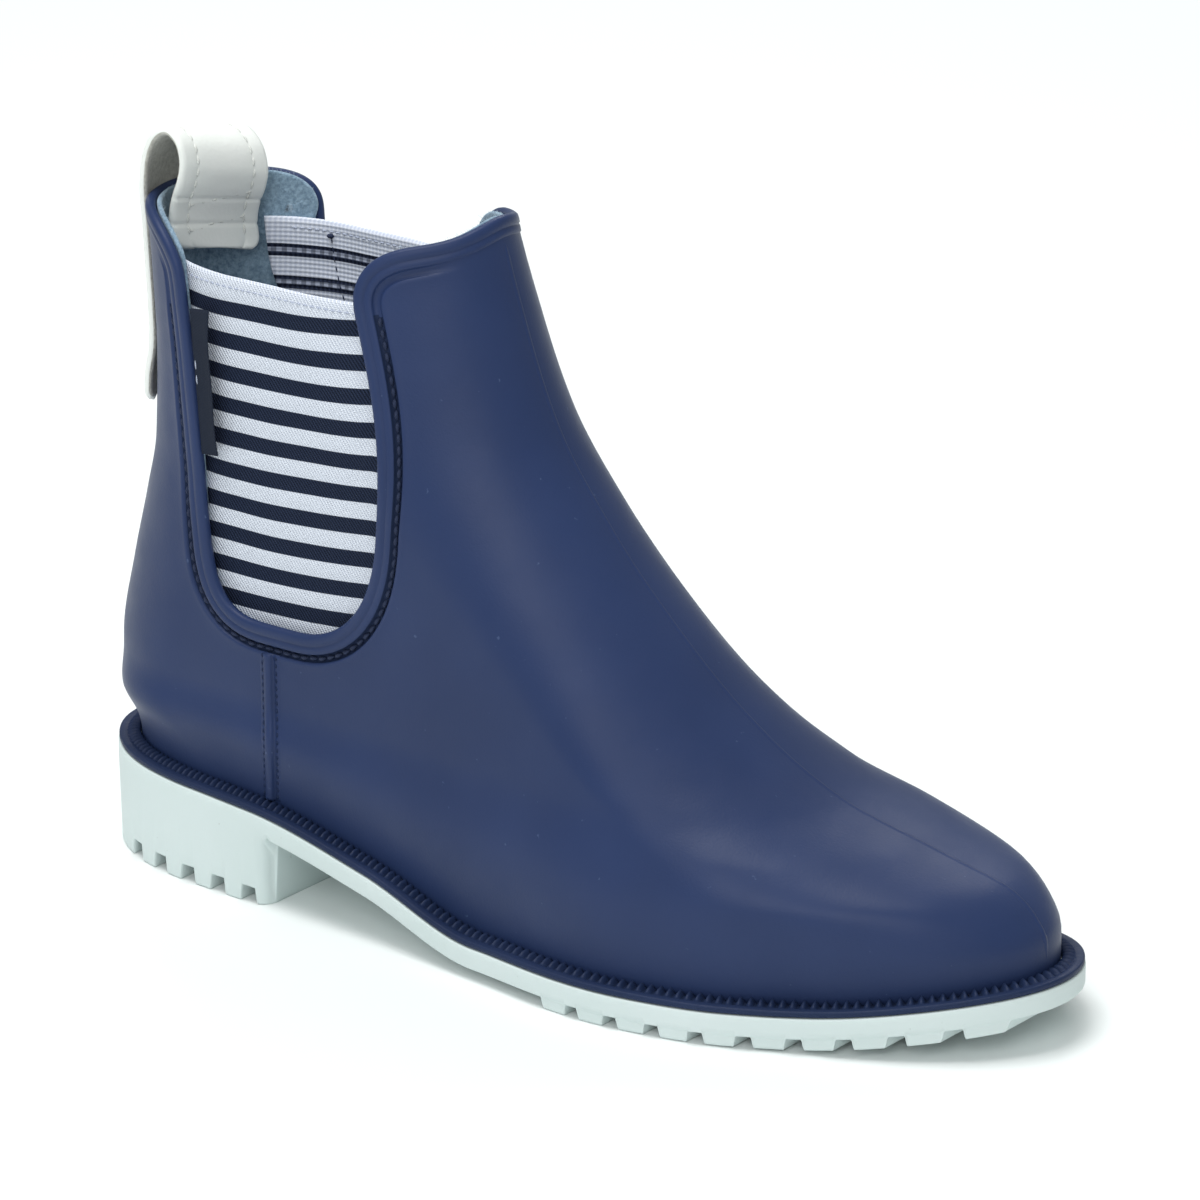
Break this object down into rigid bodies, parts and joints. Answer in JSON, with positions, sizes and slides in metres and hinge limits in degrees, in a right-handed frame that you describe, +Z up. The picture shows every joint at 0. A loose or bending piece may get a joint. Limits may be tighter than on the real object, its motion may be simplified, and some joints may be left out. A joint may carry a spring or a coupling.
{
  "type": "ankle rain boot",
  "caption": "Right-foot ankle rain boot: moulded upper with striped elastic side gores, ribbed welt, lugged heel and sole, lining, footbed and pull strap.",
  "frame": {"origin": "on the ground under the middle of the footprint", "axes": "+X towards the toe, +Y towards the inner (medial) side, +Z up"},
  "size_m": [0.2664, 0.094, 0.1797],
  "materials": {
    "navy_moulding": "satin moulded PVC",
    "white_sole": "satin moulded PVC",
    "lining_knit": "heather knitted sock",
    "gore_elastic": "woven elastic with navy and white stripes",
    "navy_thread": "twisted thread",
    "strap": "smooth coated strap, felt backing",
    "label_weave": "tight weave",
    "heel_filler": "foamed plastic",
    "insole_board": "pressed fibre board",
    "footbed_foam": "closed-cell foam"
  },
  "bodies": {
    "boot": {"upper_shell": "navy_moulding", "lining": "lining_knit", "gore_lateral": "gore_elastic", "gore_medial": "gore_elastic", "gore_thread_lateral": "navy_thread", "gore_thread_medial": "navy_thread", "welt": "navy_moulding", "outsole": "white_sole", "heel_core": "heel_filler", "insole_board": "insole_board", "pull_strap_outer_end": "strap", "pull_strap_inner_end": "strap"},
    "loop": {"pull_loop": "strap"},
    "label": {"flag_label": "label_weave"},
    "insole": {"footbed": "footbed_foam", "footbed_cover": "lining_knit"}
  },
  "joints": [
    {"name": "loop_swing", "type": "hinge", "parent": "boot", "child": "loop", "pos_m": [-0.11835, -0.00269, 0.1668], "axis": [0, 1, 0], "range_deg": [-9, 9]},
    {"name": "label_flap", "type": "hinge", "parent": "boot", "child": "label", "pos_m": [-0.08889, -0.03081, 0.10949], "axis": [0.1349, -0.024, -0.9906], "range_deg": [0, 70]},
    {"name": "footbed_peel", "type": "hinge", "parent": "boot", "child": "insole", "pos_m": [0.1222, 0, 0.0184], "axis": [0, 1, 0], "range_deg": [0, 6]}
  ]
}
